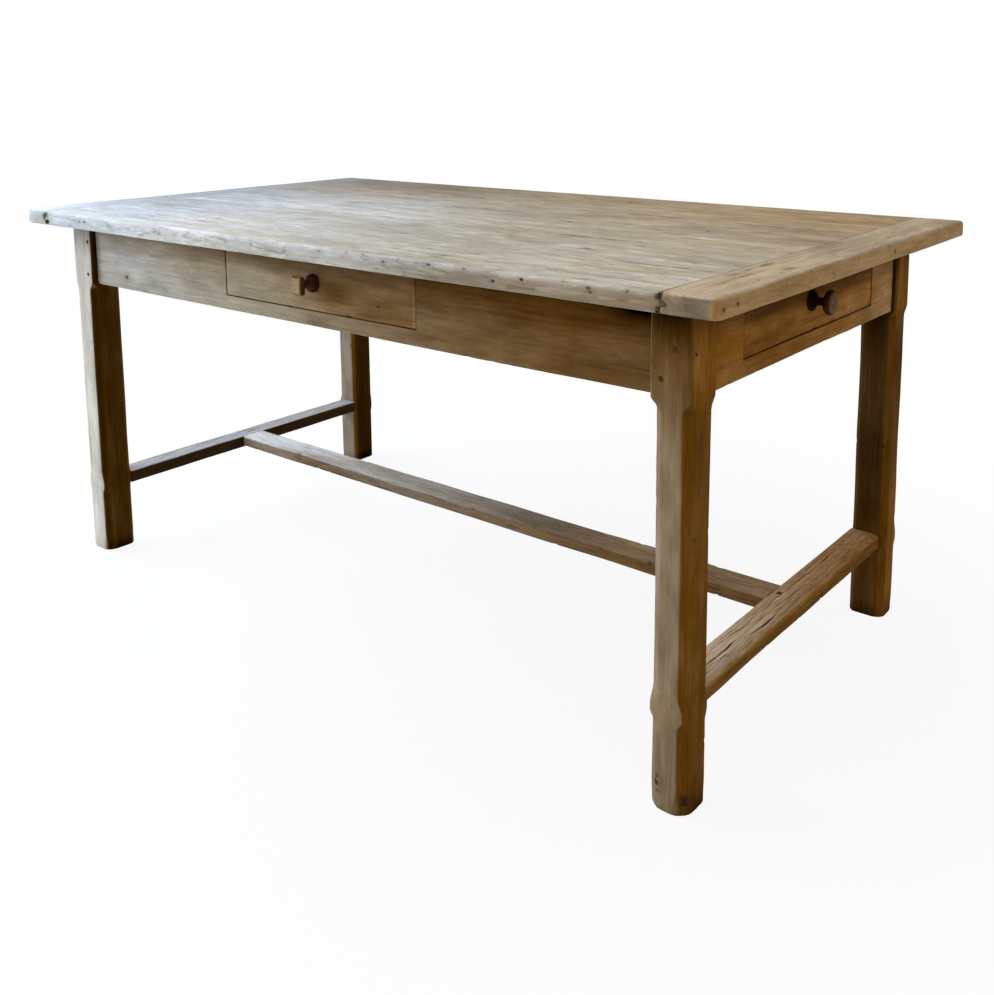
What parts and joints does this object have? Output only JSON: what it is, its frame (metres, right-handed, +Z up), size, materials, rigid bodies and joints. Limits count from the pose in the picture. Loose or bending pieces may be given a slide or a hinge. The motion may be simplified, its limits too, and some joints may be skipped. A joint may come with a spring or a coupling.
{
  "type": "farmhouse table",
  "caption": "Farmhouse table in bleached old oak: planked top with cross end boards, chamfered pegged legs, H stretcher, knobbed drawers in the long front and the end",
  "frame": {"origin": "On the floor, under the middle of the table", "axes": "+X along the length towards the end with the drawer, +Y across from the long front with the drawer to the back, +Z up"},
  "size_m": [1.66, 0.944, 0.76],
  "materials": {
    "top_oak": "matte",
    "frame_oak": "matte",
    "stretcher_oak": "matte",
    "inner_oak": "matte",
    "peg_oak": "matte",
    "knob_wood": "satin",
    "steel": "satin"
  },
  "bodies": {
    "frame": {"apron_back": "frame_oak", "apron_front": "frame_oak", "apron_left": "frame_oak", "apron_right": "frame_oak", "button_screws": "steel", "drawer_stops": "inner_oak", "end_board_left": "top_oak", "end_board_pegs": "peg_oak", "end_board_right": "top_oak", "end_guide_back": "inner_oak", "end_guide_front": "inner_oak", "end_runner_back": "inner_oak", "end_runner_front": "inner_oak", "front_guide_left": "inner_oak", "front_guide_right": "inner_oak", "front_runner_left": "inner_oak", "front_runner_right": "inner_oak", "leg_back_left": "frame_oak", "leg_back_right": "frame_oak", "leg_front_left": "frame_oak", "leg_front_right": "frame_oak", "leg_pegs": "peg_oak", "stretcher_centre": "stretcher_oak", "stretcher_left": "stretcher_oak", "stretcher_pegs": "peg_oak", "stretcher_right": "stretcher_oak", "top_buttons": "inner_oak", "top_plank_1": "top_oak", "top_plank_2": "top_oak", "top_plank_3": "top_oak", "top_plank_4": "top_oak", "top_plank_5": "top_oak"},
    "front_drawer": {"front_drawer_back": "inner_oak", "front_drawer_bottom": "inner_oak", "front_drawer_front": "frame_oak", "front_drawer_knob": "knob_wood", "front_drawer_left_side": "inner_oak", "front_drawer_nails": "steel", "front_drawer_right_side": "inner_oak"},
    "end_drawer": {"end_drawer_back": "inner_oak", "end_drawer_bottom": "inner_oak", "end_drawer_front": "frame_oak", "end_drawer_knob": "knob_wood", "end_drawer_left_side": "inner_oak", "end_drawer_nails": "steel", "end_drawer_right_side": "inner_oak"}
  },
  "joints": [
    {"name": "front_drawer_slide", "type": "slide", "parent": "frame", "child": "front_drawer", "axis": [0, -1, 0], "range_m": [0, 0.38]},
    {"name": "end_drawer_slide", "type": "slide", "parent": "frame", "child": "end_drawer", "axis": [1, 0, 0], "range_m": [0, 0.32]}
  ]
}
